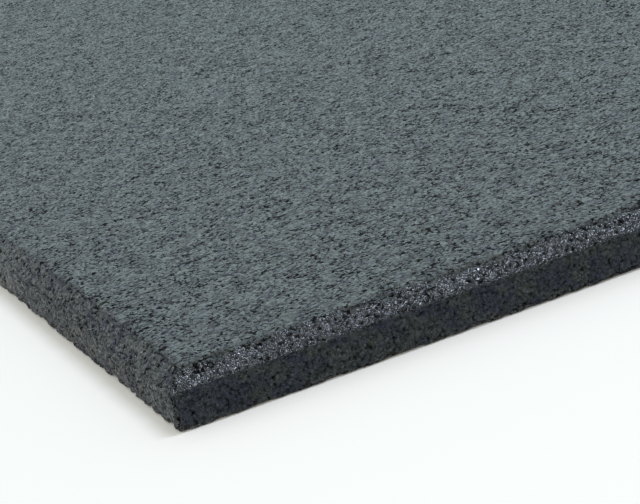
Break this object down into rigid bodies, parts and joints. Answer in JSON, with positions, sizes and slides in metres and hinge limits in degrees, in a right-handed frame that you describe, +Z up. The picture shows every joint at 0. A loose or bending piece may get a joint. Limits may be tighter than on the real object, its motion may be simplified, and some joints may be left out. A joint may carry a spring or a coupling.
{
  "type": "rubber gym floor tile",
  "caption": "Square slab of bonded rubber crumb with bevelled upper edges, laid edge to edge as a shock-absorbing gym floor.",
  "frame": {"origin": "centre of the underside, where the tile rests on the floor", "axes": "+Z up through the thickness, X and Y along the tile's two sides"},
  "size_m": [1, 1, 0.02],
  "materials": {
    "crumb_rubber": "matte pressed crumb, glossier binder on the bevels"
  },
  "bodies": {
    "root": {"rubber_tile": "crumb_rubber"}
  },
  "joints": []
}
